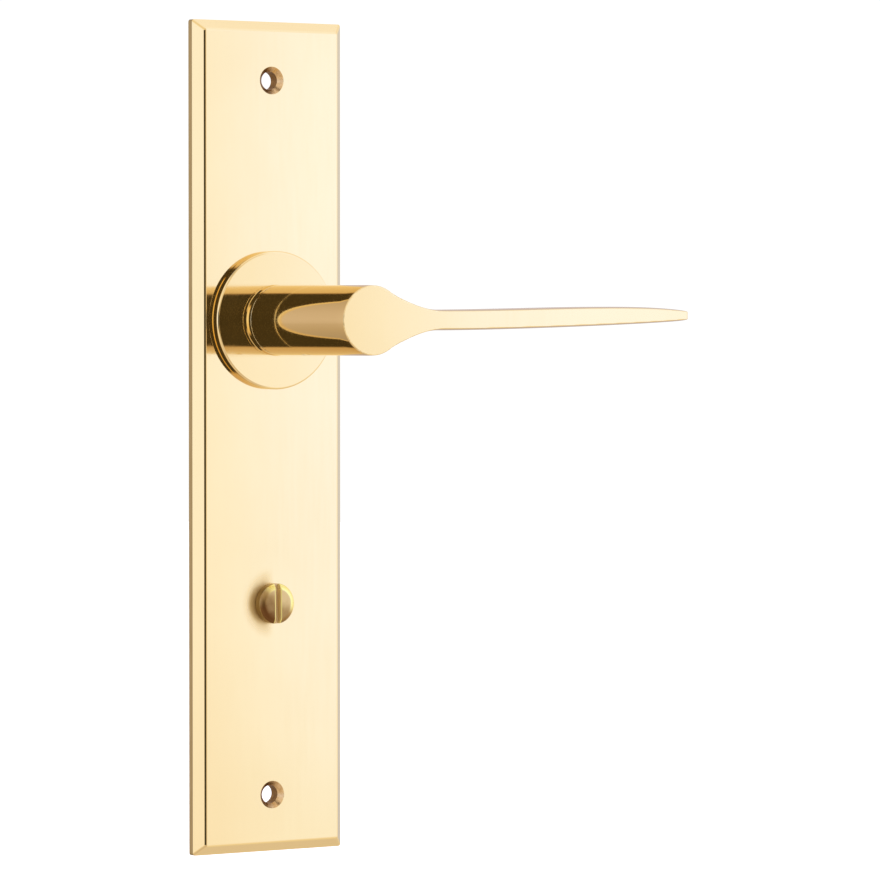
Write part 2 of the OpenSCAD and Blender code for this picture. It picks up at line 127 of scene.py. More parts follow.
def arc(centre, r, start, end, steps=10):
    """Points of an arc, with the outward normal at each: [(x, y, nx, ny), ...]."""
    found = []
    for i in range(steps + 1):
        nx, ny = polar(1, start + (end - start) * i / steps)
        found.append((centre[0] + r * nx, centre[1] + r * ny, nx, ny))
    return found


def arc_points(r, start, end, steps):
    """Points of an arc round the origin, without normals."""
    return [polar(r, start + (end - start) * i / steps) for i in range(steps + 1)]


def circle(r, x=0.0, z=0.0, sides=FINE):
    turns = [polar(r, 360 * i / sides) for i in range(sides)]
    return [(x + across, z + up) for across, up in turns]


class Shell:
    """Collects faces, each corner with its own normal, and joins them into one closed mesh. Each face
    takes the finish that is set when it is added: the number of one of the piece's materials."""

    def __init__(self):
        self.points, self.index, self.faces, self.normals, self.finishes = [], {}, [], [], []
        self.finish = POLISHED

    def vertex(self, point):
        key = tuple(round(c, 4) for c in point)
        if key not in self.index:
            self.index[key] = len(self.points)
            self.points.append(point)
        return self.index[key]

    def face(self, corners, normals):
        """One face. It is turned over if its corners run the wrong way for its normals."""
        ids, kept = [], []
        for corner, normal in zip(corners, normals):
            v = self.vertex(corner)
            if v not in ids:
                ids.append(v)
                kept.append(normal)
        if len(ids) < 3:
            return
        p = [np.array(self.points[i]) for i in ids]
        facing = np.cross(p[1] - p[0], p[-1] - p[0])
        if facing @ np.sum(kept, axis=0) < 0:
            ids.reverse()
            kept.reverse()
        self.faces.append(ids)
        self.finishes.append(self.finish)
        self.normals.extend(kept)

    def band(self, ring_a, ring_b, normals_a, normals_b):
        """Faces between two closed rings of as many points (x, z, h)."""
        n = len(ring_a)
        for i in range(n):
            j = (i + 1) % n
            self.face([ring_a[i], ring_a[j], ring_b[j], ring_b[i]],
                      [normals_a[i], normals_a[j], normals_b[j], normals_b[i]])

    def flat(self, loops, h, out, normal=None):
        """A flat face at height h, facing out (1 or -1): the first loop, less the others."""
        points = [p for loop in loops for p in loop]
        flat = [[Vector((x, z, 0)) for x, z in loop] for loop in loops]
        for tri in tessellate_polygon(flat):
            self.face([(*points[i], h) for i in tri], [normal or (0, 0, out)] * 3)

    def wall(self, loop, low, high, out=-1):
        """Straight wall on a loop, from height low to high. out is -1 where the loop is a hole."""
        n = len(loop)
        normals = []
        for i in range(n):
            dx, dz = (loop[(i + 1) % n][k] - loop[i - 1][k] for k in (0, 1))
            size = math.hypot(dx, dz)
            normals.append((out * dz / size, -out * dx / size, 0))
        self.band([(*p, low) for p in loop], [(*p, high) for p in loop], normals, normals)

    def bore(self, loop, low, high, cap_at):
        """A blind hole in a loop: its wall, and its flat end, which faces the open end."""
        self.wall(loop, low, high)
        self.flat([loop], cap_at, -1 if cap_at == high else 1)

    def mesh(self, name):
        made = bpy.data.meshes.new(name)
        made.from_pydata([(x * MM, -h * MM, z * MM) for x, z, h in self.points], [], self.faces)
        made.shade_smooth()
        made.polygons.foreach_set("material_index", self.finishes)
        made.normals_split_custom_set([(nx, -nh, nz) for nx, nz, nh in self.normals])
        return made


def surface_net(name, distance, axes, finish=None):
    """Mesh of the surface where distance(x, z, h) is zero, on the grid of the three axes.
    finish(x, z, h) gives the number of the material at a place."""
    inside = distance(*np.meshgrid(*axes, indexing="ij")) < 0
    cells = tuple(n - 1 for n in inside.shape)
    corners = np.zeros(cells, int)
    for i, j, k in np.ndindex(2, 2, 2):
        corners += inside[i:cells[0] + i, j:cells[1] + j, k:cells[2] + k]
    mixed = (corners > 0) & (corners < 8)
    number = np.full(cells, -1)
    number[mixed] = np.arange(mixed.sum())
    at = np.argwhere(mixed)
    low = np.stack([axes[k][at[:, k]] for k in range(3)], 1)
    high = np.stack([axes[k][at[:, k] + 1] for k in range(3)], 1)
    points = settle(distance, low, high)
    faces = net_faces(inside, number)
    slope = gradient(distance, points)
    slope /= np.linalg.norm(slope, axis=1)[:, None]
    made = bpy.data.meshes.new(name)
    made.from_pydata((points * (MM, MM, -MM))[:, [0, 2, 1]].tolist(), [], faces.tolist())
    made.shade_smooth()
    if finish:
        made.polygons.foreach_set("material_index", finish(*points[faces].mean(1).T))
    made.normals_split_custom_set_from_vertices((slope * (1, 1, -1))[:, [0, 2, 1]].tolist())
    return made


def settle(distance, low, high, rounds=12, slack=0.2):
    """One point in each cell, moved onto the surface, but hardly out of its cell."""
    points = (low + high) / 2
    reach = slack * (high - low)
    for _ in range(rounds):
        value, slope = distance(*points.T), gradient(distance, points)
        points = points - (value / np.maximum((slope ** 2).sum(1), 1e-6))[:, None] * slope
        points = np.clip(points, low - reach, high + reach)
    return points


def net_faces(inside, number):
    """Faces that join the points of the four cells round each grid edge that crosses the surface."""
    cells, faces = number.shape, []
    for k in range(3):
        a, b = [m for m in range(3) if m != k]
        first = np.take(inside, range(cells[k]), k)
        second = np.take(inside, range(1, cells[k] + 1), k)
        for sign in (1, -1):
            edges = np.argwhere((first & ~second) if sign > 0 else (~first & second))
            edges = edges[(edges[:, a] > 0) & (edges[:, b] > 0)]
            edges = edges[(edges[:, a] < cells[a]) & (edges[:, b] < cells[b])]
            around = []
            for da, db in ((0, 0), (-1, 0), (-1, -1), (0, -1))[::sign * (1 if k != 1 else -1)]:
                step = np.zeros(3, int)
                step[a], step[b] = da, db
                around.append(number[tuple((edges + step).T)])
            faces.append(np.stack(around, 1))
    return np.concatenate(faces)


def gradient(distance, points, step=0.01):
    found = []
    for k in range(3):
        off = np.zeros(3)
        off[k] = step
        found.append((distance(*(points + off).T) - distance(*(points - off).T)) / (2 * step))
    return np.stack(found, 1)


def both(a, b, r=0.0):
    """Distance to what two shapes share, its edge rounded to radius r."""
    return np.minimum(np.maximum(a, b), -r) + np.hypot(np.maximum(a + r, 0), np.maximum(b + r, 0))


def either(a, b, r=0.0):
    """Distance to two shapes joined, with a fillet of radius r between them."""
    return -both(-a, -b, r)


def spread(*stretches):
    """Grid lines: stretches of (start, end, step), one after the other."""
    lines = [np.arange(start, end - step / 2, step) for start, end, step in stretches]
    return np.concatenate(lines + [[stretches[-1][1]]])


def add_object(name, data):
    made = bpy.data.objects.new(name, data)
    bpy.context.scene.collection.objects.link(made)
    return made


def add_piece(mesh, body, slot, materials, *nodes):
    """A new piece that rides on a body and stands for CAD nodes."""
    piece = add_object(mesh.name, mesh)
    for material in materials:
        mesh.materials.append(material)
    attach(piece, body)
    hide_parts(*nodes)


# ---------------------------------------------------------------- backplate


BEVEL_SLOPE = math.degrees(math.atan2(BEVEL_W, BEVEL_D))
BEVEL_STEPS, CORNER_STEPS = 8, 8


def corner_ring(tilt):
    """The bevel's corners where the surface tilts this many degrees up from sideways. Each corner is a
    small arc, which rounds the ridge between two bevels: points (x, z, h) and their normals."""
    inset = BEVEL_W + BEVEL_EDGE_R * math.tan(math.radians(90 - BEVEL_SLOPE) / 2)
    out, up = polar(1, tilt)
    ring, normals = [], []
    for side_x, side_z in ((1, -1), (1, 1), (-1, 1), (-1, -1)):
        corner = plate_corner(side_x, side_z, inset)
        for i in range(CORNER_STEPS + 1):
            part = i / CORNER_STEPS if side_x * side_z > 0 else 1 - i / CORNER_STEPS
            normal = Vector((side_x * out * (1 - part), side_z * out * part, up)).normalized()
            ring.append(tuple(Vector((*corner, PLATE_T - BEVEL_EDGE_R)) + BEVEL_EDGE_R * normal))
            normals.append(tuple(normal))
    return ring, normals


def plate_corner(side_x, side_z, inset):
    edge = PLATE_HIGH[2] if side_z > 0 else PLATE_LOW[2]
    return side_x * (PLATE_HIGH[0] - inset), edge - side_z * inset


def bevel_foot(ring):
    """The last ring of the bevel, carried on down its slope to the top of the plate's side."""
    reach = BEVEL_W / BEVEL_D
    middle = (PLATE_HIGH[2] + PLATE_LOW[2]) / 2
    foot = []
    for x, z, h in ring:
        fall = h - (PLATE_T - BEVEL_D)
        foot.append((x + math.copysign(reach * fall, x), z + math.copysign(reach * fall, z - middle),
                     PLATE_T - BEVEL_D))
    return foot


def double_d(r, half, sides=ROUND):
    """A circle cut by two flats at x = half and -half."""
    edge = math.degrees(math.acos(half / r))
    top = arc_points(r, edge, 180 - edge, round(sides * (180 - 2 * edge) / 360))
    return top + [(-x, -z) for x, z in top]


def pocket_outline():
    """Round pocket of the release's fittings, with the sector that its tab sweeps."""
    low, high = POCKET_TAB_ANGLES
    wide = arc_points(POCKET_TAB_R, low, high, 40)
    rest = arc_points(POCKET_R, high, 360 + low, 60)
    return [(x, z + TURN_Z) for x, z in wide + rest]


def add_fixing_hole(shell, z):
    """A fixing hole from the front: its rounded rim, its countersink and its straight bore."""
    back = FIX_EDGE_R * math.tan(math.radians(FIX_CSK_TILT / 2))
    start = (FIX_CSK_R + back, PLATE_T - FIX_EDGE_R)
    rim = arc(start, FIX_EDGE_R, 90, 90 + FIX_CSK_TILT)
    csk_end = PLATE_T - (FIX_CSK_R - FIX_R)
    out, up = polar(1, FIX_CSK_TILT)
    cone = [(*rim[-1][:2], -out, up), (FIX_R, csk_end, -out, up)]
    for finish, run in ((POLISHED, rim), (BORED, cone)):
        shell.finish = finish
        revolve_into(shell, run, z=z)
    shell.finish = DRILLED
    shell.wall(circle(FIX_R, z=z), 0, csk_end)
    return circle(rim[0][0], z=z)


def add_bevel(shell):
    """The rounded edge of the plate's face and the bevel below it. Returns the outlines of the face
    and of the plate's back."""
    rings = [corner_ring(90 - (90 - BEVEL_SLOPE) * i / BEVEL_STEPS) for i in range(BEVEL_STEPS + 1)]
    foot = bevel_foot(rings[-1][0])
    rings.append((foot, rings[-1][1]))
    for (ring_a, normals_a), (ring_b, normals_b) in zip(rings, rings[1:]):
        shell.band(ring_a, ring_b, normals_a, normals_b)
    return [p[:2] for p in rings[0][0][::CORNER_STEPS + 1]], [p[:2] for p in foot]


def build_backplate(materials):
    shell = Shell()
    front, back = add_bevel(shell)
    rims = [add_fixing_hole(shell, z) for z in FIX_Z]
    holes = [circle(FIX_R, z=z) for z in FIX_Z]
    case = double_d(SPIGOT_R, SPIGOT_HALF)
    recess = circle(COVER_R + COVER_GAP, sides=ROUND)
    bush = circle(RELEASE_BUSH_R, z=TURN_Z)
    pocket = pocket_outline()
    shell.finish = POLISHED
    shell.flat([front, case, bush, *rims], PLATE_T, 1)
    shell.finish = MACHINED
    shell.wall(back, 0, PLATE_T - BEVEL_D, out=1)
    shell.flat([back, recess, pocket, *holes], 0, -1)
    shell.flat([recess, case], COVER_T, -1)
    shell.flat([pocket, bush], POCKET_D, -1)
    shell.wall(case, COVER_T, PLATE_T)
    shell.wall(recess, 0, COVER_T)
    shell.wall(bush, POCKET_D, PLATE_T)
    shell.wall(pocket, 0, POCKET_D)
    add_piece(shell.mesh("brass_backplate"), "plate_body", "polished_brass", materials, "backplate")


def revolve_into(shell, profile, z=0.0, sides=FINE):
    """Sweeps (radius, h, outward, forward) points round an axis."""
    turns = [polar(1, 360 * i / sides) for i in range(sides)]
    rings, normals = [], []
    for r, h, out, up in profile:
        rings.append([(r * c, z + r * s, h) for c, s in turns])
        normals.append([(out * c, out * s, up) for c, s in turns])
    for a in range(len(rings) - 1):
        shell.band(rings[a], rings[a + 1], normals[a], normals[a + 1])


# ---------------------------------------------------------------- rose


def rose_runs():
    """The rose's outside and its inside, in runs that meet at sharp edges: (radius, h, outward,
    forward)."""
    slant = polar(1, 45)
    slope = polar(1, math.degrees(math.atan2(COLLAR_FOOT_W, COLLAR_FOOT_H)))
    edge = (ROSE_R - ROSE_EDGE_R, ROSE_TOP - ROSE_EDGE_R)
    foot_top, lip_foot, lip_r = ROSE_TOP + COLLAR_FOOT_H, COLLAR_TOP - COLLAR_LIP, COLLAR_R - COLLAR_LIP
    outside = [
        [(ROSE_R - ROSE_FOOT, PLATE_T, slant[0], -slant[1]),
         (ROSE_R, PLATE_T + ROSE_FOOT, slant[0], -slant[1])],
        [(ROSE_R, PLATE_T + ROSE_FOOT, 1, 0), *arc(edge, ROSE_EDGE_R, 0, 90)],
        [(COLLAR_R + COLLAR_FOOT_W, ROSE_TOP, *slope), (COLLAR_R, foot_top, *slope)],
        [(COLLAR_R, foot_top, 1, 0), (COLLAR_R, lip_foot, 1, 0)],
        [(COLLAR_R, lip_foot, *slant), (lip_r, COLLAR_TOP, *slant)],
        [(lip_r, COLLAR_TOP, 0, 1), (BUSH_R, COLLAR_TOP, 0, 1)],
    ]
    inside = [
        [(BUSH_R, COLLAR_TOP, -1, 0), (BUSH_R, CASE_TOP, -1, 0)],
        [(CASE_R, CASE_TOP, -1, 0), (CASE_R, COVER_T, -1, 0)],
    ]
    return outside, inside


def add_rose_back(shell):
    """The rose's back: the spigot in the plate, the floor of the spring's case and the blind holes."""
    spigot = double_d(SPIGOT_R, SPIGOT_HALF)
    case, bush, foot = (circle(r, sides=ROUND) for r in (CASE_R, BUSH_R, ROSE_R - ROSE_FOOT))
    screws = [circle(SCREW_R, *polar(SCREW_RING, a), sides=PLAIN) for a in SCREW_ANGLES]
    pins = [circle(STOP_R, *polar(STOP_RING, a), sides=PLAIN) for a in STOP_ANGLES]
    pins.append(circle(ANCHOR_R, *polar(ANCHOR_RING, ANCHOR_ANGLE), sides=PLAIN))
    shell.flat([spigot, case, *screws], COVER_T, -1)
    shell.flat([case, bush, *pins], CASE_TOP, -1)
    shell.flat([foot, spigot], PLATE_T, -1)
    shell.wall(spigot, COVER_T, PLATE_T, out=1)
    for loop in screws:
        shell.bore(loop, COVER_T, SCREW_END, SCREW_END)
    for loop in pins:
        shell.bore(loop, CASE_TOP, PIN_END, PIN_END)


def build_rose(materials):
    shell = Shell()
    for finish, runs in zip((POLISHED, MACHINED), rose_runs()):
        shell.finish = finish
        for run in runs:
            revolve_into(shell, run, sides=ROUND)
    # The face was polished a little out of true with the plate
    lean = (-math.sin(math.radians(ROSE_FACE_TILT)), 0, 1)
    face = [circle(r, sides=ROUND) for r in (ROSE_R - ROSE_EDGE_R, COLLAR_R + COLLAR_FOOT_W)]
    shell.finish = POLISHED
    shell.flat(face, ROSE_TOP, 1, lean)
    shell.finish = MACHINED
    add_rose_back(shell)
    add_piece(shell.mesh("brass_rose"), "plate_body", "polished_brass", materials, "rose")


# ---------------------------------------------------------------- lever


def bezier(a, b, c, d, steps=600):
    t = np.linspace(0, 1, steps + 1)[:, None]
    a, b, c, d = (np.array(p, float) for p in (a, b, c, d))
    return (1 - t) ** 3 * a + 3 * (1 - t) ** 2 * t * b + 3 * (1 - t) * t ** 2 * c + t ** 3 * d


class Edge:
    """A curve that gives a value and its slope at each x, with the distance of a point past it."""

    def __init__(self, *curves):
        points = np.concatenate(curves)
        keep = np.concatenate([[True], np.diff(points[:, 0]) > 1e-9])
        self.x, self.y = points[keep].T
        self.slope = np.gradient(self.y, self.x)

    def past(self, x, y):
        slope = np.interp(x, self.x, self.slope)
        return (y - np.interp(x, self.x, self.y)) / np.sqrt(1 + slope ** 2)


SHOULDER_ANGLE, SHOULDER_PULL = 59, 6.5
ROOT_X, ROOT_TOP, ROOT_BOTTOM = 24.0, 3.05, -2.85
TIP_X = LEVER_LEN - 2
TIP_TOP, TIP_BOTTOM = 3.1, -0.3
# How hard each long edge is pulled along at its root and at its tip, and how far out at its tip
TOP_PULLS, TOP_SWELL = (31, 20), 1.9
BOTTOM_PULLS, BOTTOM_SWELL = (22, 14), -1
# The edges are carried on this far past the tip, closing in by this much
PAST_TIP, TOP_CLOSES, BOTTOM_CLOSES = 2, 0.5, 0.4
BLADE_ROOT_DEPTH, BLADE_TIP_DEPTH = 17, 12
SWEEP_X, SWEEP_H, SWEEP_SLACK = 20.0, 12.0, 0.4
NOSE_R, TIP_R, FRONT_EDGE_R = 5.0, 1.2, 0.15
BACK_EDGE_R, BACK_EDGE_TIP_R, BACK_EDGE_X = 1.6, 0.6, (LEVER_LEN - 12, LEVER_LEN - 3)
SOFT_DEPTH, DISC_SOFT_DROP, BLADE_SOFT_DROP, SOFT_X = 4.0, 0.1, 0.45, (10, 24)
INNER_FILLET_R, LEAST_FILLET_R, FILLET_GROWTH, FILLET_FADES = 3.0, 0.02, 9, (-14, -6)
SHANK_OVERLAP = 1
# How far beyond a hole's own size its walls still count as machined
SOCKET_MARGIN, SOCKET_END_MARGIN, GRUB_MARGIN, GRUB_END_MARGIN, BACK_MARGIN = 0.2, 0.3, 0.1, 0.5, 0.01
# Places where the step of the lever's grid changes: along x and z first, then along h
GRID_OUTSIDE, GRID_RIM, GRID_BLADE, GRID_ROOT, GRID_TIP = 10.6, 8.6, (-4, 5), 26, 105
GRID_BACK, GRID_SHANK, GRID_SWEEP, GRID_FRONT, GRID_FACE = 0.1, 3.9, 28, 54.5, 57.5
GRID_SEAM, GRID_PAST_TIP, GRID_PAST_FACE = (NECK_BACK - 0.25, NECK_BACK + 0.3), 1, 0.4


def front_height(x):
    """Height of the flat front, which leans back a little towards the neck."""
    return LEVER_PROJ - (LEVER_LEN - TIP_BEVEL - x) * math.tan(math.radians(FRONT_TILT))


def shoulder(half):
    start = np.array(polar(NECK_FRONT_R, SHOULDER_ANGLE))
    along = np.array([math.sin(math.radians(SHOULDER_ANGLE)), -math.cos(math.radians(SHOULDER_ANGLE))])
    return bezier(start, start + SHOULDER_PULL * along, (ROOT_X - SHOULDER_PULL, half), (ROOT_X, half))


def long_edge(root, tip, pulls, swell):
    """One long edge of the blade's front, from its root to its tip."""
    return bezier((ROOT_X, root), (ROOT_X + pulls[0], root), (TIP_X - pulls[1], tip + swell), (TIP_X, tip))


def lever_edges():
    """Top and bottom edges of the front's outline, and the blade's back, each against x."""
    upper = long_edge(ROOT_TOP, TIP_TOP, TOP_PULLS, TOP_SWELL)
    lower = long_edge(ROOT_BOTTOM, TIP_BOTTOM, BOTTOM_PULLS, BOTTOM_SWELL)
    end = LEVER_LEN + PAST_TIP
    top = Edge(shoulder(ROOT_TOP), upper, [(end, TIP_TOP - TOP_CLOSES)])
    bottom = Edge(shoulder(-ROOT_BOTTOM) * (1, -1), lower, [(end, TIP_BOTTOM + BOTTOM_CLOSES)])
    back_root, back_tip = LEVER_PROJ - BLADE_ROOT_DEPTH, LEVER_PROJ - BLADE_TIP_DEPTH
    sweep = bezier((NECK_FRONT_R - SWEEP_SLACK, back_root - SWEEP_H),
                   (NECK_FRONT_R, back_root - SWEEP_H / 4),
                   (NECK_FRONT_R + SWEEP_X / 3, back_root - SWEEP_SLACK),
                   (NECK_FRONT_R + SWEEP_X, back_root))
    back = Edge(sweep, [(end, back_tip)])
    return top, bottom, back


def smooth_step(low, high, value):
    part = np.clip((value - low) / (high - low), 0, 1)
    return part * part * (3 - 2 * part)


def neck_distance(around, h):
    """The round neck, which tapers a little towards the front."""
    taper = COLLAR_R + (NECK_FRONT_R - COLLAR_R) * (h - NECK_BACK) / (LEVER_PROJ - NECK_BACK)
    return both(around - taper, NECK_BACK - h, NECK_EDGE_R)


def blade_distance(x, z, h, edges):
    """The blade, from where it leaves the neck to its tip, before its front is cut flat."""
    top, bottom, back = edges
    blade = both(top.past(x, z), -bottom.past(x, z))
    blade = both(blade, NECK_FRONT_R * math.cos(math.radians(SHOULDER_ANGLE)) - x)
    ends = both(x - LEVER_LEN, -back.past(x, h), NOSE_R)
    edge_r = BACK_EDGE_R + (BACK_EDGE_TIP_R - BACK_EDGE_R) * smooth_step(*BACK_EDGE_X, x)
    return both(blade, ends, edge_r)


def fillet_radius(front, h):
    """Radius of the fillet between neck and blade. It starts from nothing where the blade's back
    leaves the neck, and fades out again below the front."""
    begin = LEVER_PROJ - BLADE_ROOT_DEPTH - SWEEP_H
    grown = smooth_step(begin, begin + FILLET_GROWTH, h)
    return LEAST_FILLET_R + INNER_FILLET_R * (1 - smooth_step(*FILLET_FADES, front)) * grown


def shank_distance(x, h, around):
    """The shank behind the neck, with two flats for the driver and a groove for the circlip."""
    ends = np.maximum(SHANK_END - h, h - NECK_BACK - SHANK_OVERLAP)
    shank = both(around - SHANK_R, ends, SHANK_EDGE_R)
    shank = np.where(h < FLATS_TOP, both(shank, np.abs(x) - SHANK_FLAT, FLAT_EDGE_R), shank)
    groove = np.maximum(np.abs(h - CLIP_H - CLIP_T / 2) - CLIP_T / 2, CLIP_GROOVE_R - around)
    return both(shank, -groove)


def lever_distance(x, z, h, edges):
    around = np.hypot(x, z)
    front = (h - front_height(x)) * math.cos(math.radians(FRONT_TILT))
    blade = blade_distance(x, z, h, edges)
    solid = either(neck_distance(around, h), blade, fillet_radius(front, h))
    # Polishing has drawn the sides in a little towards the front
    drop = DISC_SOFT_DROP + (BLADE_SOFT_DROP - DISC_SOFT_DROP) * smooth_step(*SOFT_X, x)
    solid = solid + drop * (np.maximum(front + SOFT_DEPTH, 0) / SOFT_DEPTH) ** 2
    solid = both(solid, front, FRONT_EDGE_R)
    solid = both(solid, both(x - LEVER_LEN, front, TIP_R))
    solid = either(solid, shank_distance(x, h, around))
    socket = np.maximum(np.maximum(np.abs(x), np.abs(z)) - SOCKET_HALF, h - SOCKET_END)
    grub = np.maximum(np.hypot(x, h - GRUB_H) - GRUB_R, z)
    return both(both(solid, -socket, SOCKET_EDGE_R), -grub, GRUB_EDGE_R)


def lever_finish(x, z, h):
    """Machined in the socket, in the grub screw's hole and behind the neck, and polished elsewhere."""
    socket = np.maximum(abs(x), abs(z)) < SOCKET_HALF + SOCKET_MARGIN
    socket &= h < SOCKET_END + SOCKET_END_MARGIN
    grub = np.hypot(x, h - GRUB_H) < GRUB_R + GRUB_MARGIN
    grub &= abs(z) < COLLAR_R - GRUB_END_MARGIN
    return np.where(socket | grub | (h < NECK_BACK + BACK_MARGIN), MACHINED, POLISHED)


def lever_grid():
    low, high = GRID_BLADE
    seam_low, seam_high = GRID_SEAM
    along = spread((-GRID_OUTSIDE, -GRID_RIM, 0.2), (-GRID_RIM, GRID_ROOT, 0.4),
                   (GRID_ROOT, GRID_TIP, 0.6), (GRID_TIP, LEVER_LEN + GRID_PAST_TIP, 0.2))
    upwards = spread((-GRID_OUTSIDE, -GRID_RIM, 0.25), (-GRID_RIM, low, 0.35), (low, high, 0.25),
                     (high, GRID_RIM, 0.35), (GRID_RIM, GRID_OUTSIDE, 0.25))
    forward = spread((GRID_BACK, GRID_SHANK, 0.2), (GRID_SHANK, seam_low, 0.6),
                     (seam_low, seam_high, 0.1), (seam_high, GRID_SWEEP, 0.6),
                     (GRID_SWEEP, GRID_FRONT, 0.45), (GRID_FRONT, GRID_FACE, 0.3),
                     (GRID_FACE, LEVER_PROJ + GRID_PAST_FACE, 0.12))
    return along, upwards, forward


def build_lever(materials):
    edges = lever_edges()
    mesh = surface_net("brass_lever", lambda *place: lever_distance(*place, edges), lever_grid(),
                       lever_finish)
    add_piece(mesh, "lever_body", "polished_brass", materials, "lever")


# ---------------------------------------------------------------- release turn


TURN_OVERLAP, INSIDE = 0.5, -9.0
TURN_GRID_MARGIN, TURN_GRID_HEAD = 0.3, 4


def head_distance(x, h, around):
    """The turn's head: a disc with a domed edge and a coin's slot."""
    # The dome is part of a circle that meets the face and the head's side
    dome_r = (DOME_W ** 2 + DOME_H ** 2) / (2 * DOME_H)
    head = both(around - TURN_R, np.maximum(TURN_FOOT - h, h - TURN_TOP), DOME_EDGE_R)
    dome = np.hypot(np.maximum(around - TURN_R + DOME_W, 0), h - TURN_TOP + dome_r) - dome_r
    head = both(head, np.where(h > TURN_TOP - dome_r, dome, INSIDE), DOME_EDGE_R)
    slot = np.maximum(np.abs(x) - SLOT_HALF, TURN_TOP - SLOT_DEPTH - h)
    return both(head, -slot, SLOT_EDGE_R)


def shaft_distance(x, h, around):
    """The turn's shaft, with two flats for the stop washer and a groove for the circlip."""
    ends = np.maximum(TURN_SHAFT_END - h, h - TURN_FOOT - TURN_OVERLAP)
    shaft = both(around - TURN_SHAFT_R, ends, TURN_SHAFT_EDGE_R)
    keyed = np.abs(h - TURN_WASHER_H - TURN_WASHER_T / 2) - TURN_WASHER_T / 2
    shaft = both(shaft, -np.maximum(keyed, TURN_FLAT - np.abs(x)))
    groove = np.abs(h - TURN_CLIP_H - TURN_CLIP_T / 2) - TURN_CLIP_T / 2
    return both(shaft, -np.maximum(groove, TURN_GROOVE_R - around))


def turn_distance(x, z, h):
    z = z - TURN_Z
    around = np.hypot(x, z)
    solid = either(head_distance(x, h, around), shaft_distance(x, h, around))
    hole = np.maximum(around - TAIL_HOLE_R, h - TAIL_HOLE_END)
    cross = np.hypot(z, h - PIN_HOLE_H) - PIN_HOLE_R
    return both(both(solid, -hole, HOLE_EDGE_R), -cross, HOLE_EDGE_R)


def build_release_turn(materials):
    margin = TURN_GRID_MARGIN
    across = spread((-TURN_R - margin, TURN_R + margin, 0.13))
    forward = spread((TURN_SHAFT_END - margin, TURN_GRID_HEAD, 0.16),
                     (TURN_GRID_HEAD, TURN_TOP + margin, 0.12))
    mesh = surface_net("brass_release_turn", turn_distance, (across, across + TURN_Z, forward))
    add_piece(mesh, "release_body", "turned_brass", materials, "release_turn")


# ---------------------------------------------------------------- materials


class Nodes:
    """Adds and joins a node tree's nodes."""

    def __init__(self, tree):
        self.tree = tree
        tree.nodes.clear()

    def add(self, kind, inputs=None, **settings):
        node = self.tree.nodes.new(kind)
        for key, value in settings.items():
            setattr(node, key, value)
        for key, value in (inputs or {}).items():
            self.feed(node.inputs[key], value)
        return node

    def feed(self, socket, value):
        if isinstance(value, bpy.types.NodeSocket):
            self.tree.links.new(value, socket)
        else:
            socket.default_value = value

    def math(self, operation, *values):
        node = self.add("ShaderNodeMath", operation=operation)
        for socket, value in zip(node.inputs, values):
            self.feed(socket, value)
        return node.outputs[0]

    def ramp(self, value, stops):
        """Colours or greys against value, at stops of (position, colour or grey)."""
        node = self.add("ShaderNodeValToRGB", {"Fac": value})
        marks = node.color_ramp.elements
        while len(marks) < len(stops):
            marks.new(1.0)
        for mark, (position, colour) in zip(marks, stops):
            mark.position = position
            grey = isinstance(colour, (int, float))
            mark.color = (colour, colour, colour, 1) if grey else (*colour, 1)
        return node.outputs["Color"]

    def angles(self, value, stops, start=0, span=180):
        """A ramp with its stops in degrees. Its value runs from 0 to 1 over a span that starts at
        the angle start."""
        return self.ramp(value, [((angle - start) / span, level) for angle, level in stops])

    def angle_from(self, towards, direction):
        """Angle between two directions, as a part of half a turn."""
        cosine = self.add("ShaderNodeVectorMath", {0: towards, 1: direction}, operation="DOT_PRODUCT")
        return self.math("DIVIDE", self.math("ARCCOSINE", cosine.outputs["Value"]), math.pi)

    def between(self, value, from_min, from_max, to_min, to_max):
        node = self.add("ShaderNodeMapRange", {
            "Value": value, "From Min": from_min, "From Max": from_max, "To Min": to_min, "To Max": to_max})
        return node.outputs["Result"]

    def vary(self, noise, low, high):
        """From low to high with a noise, which lies between 0.3 and 0.7 nearly everywhere."""
        return self.between(noise, 0.3, 0.7, low, high)

    def smooth(self, value, start, end):
        """0 at start and 1 at end, eased at both."""
        node = self.add("ShaderNodeMapRange", {"Value": value, "From Min": start, "From Max": end},
                        interpolation_type="SMOOTHSTEP")
        return node.outputs["Result"]

    def mix(self, factor, first, second):
        """One colour turned into another by the factor."""
        return self.add("ShaderNodeMix", {"Factor": factor, 6: first, 7: (*second, 1)},
                        data_type="RGBA").outputs[2]

    def blend(self, factor, first, second):
        """One number turned into another by the factor."""
        return self.add("ShaderNodeMix", {"Factor": factor, "A": first, "B": second}).outputs["Result"]

    def blend_shaders(self, factor, first, second):
        return self.add("ShaderNodeMixShader", {"Fac": factor, 1: first, 2: second}).outputs["Shader"]

    def noise(self, place, scale, detail, stretch=(1, 1, 1)):
        moved = self.add("ShaderNodeMapping", {"Vector": place, "Scale": stretch})
        node = self.add("ShaderNodeTexNoise",
                        {"Vector": moved.outputs["Vector"], "Scale": scale, "Detail": detail})
        return node.outputs["Fac"]

    def bump(self, height, distance, under=None):
        node = self.add("ShaderNodeBump", {"Height": height, "Distance": distance})
        if under is not None:
            self.feed(node.inputs["Normal"], under)
        return node.outputs["Normal"]


def new_material(name):
    material = bpy.data.materials.new(name)
    material.use_nodes = True
    nodes = Nodes(material.node_tree)
    place = nodes.add("ShaderNodeTexCoord").outputs["Object"]
    shader = nodes.add("ShaderNodeBsdfPrincipled")
    nodes.add("ShaderNodeOutputMaterial", {"Surface": shader.outputs["BSDF"]})
    return material, nodes, place, shader


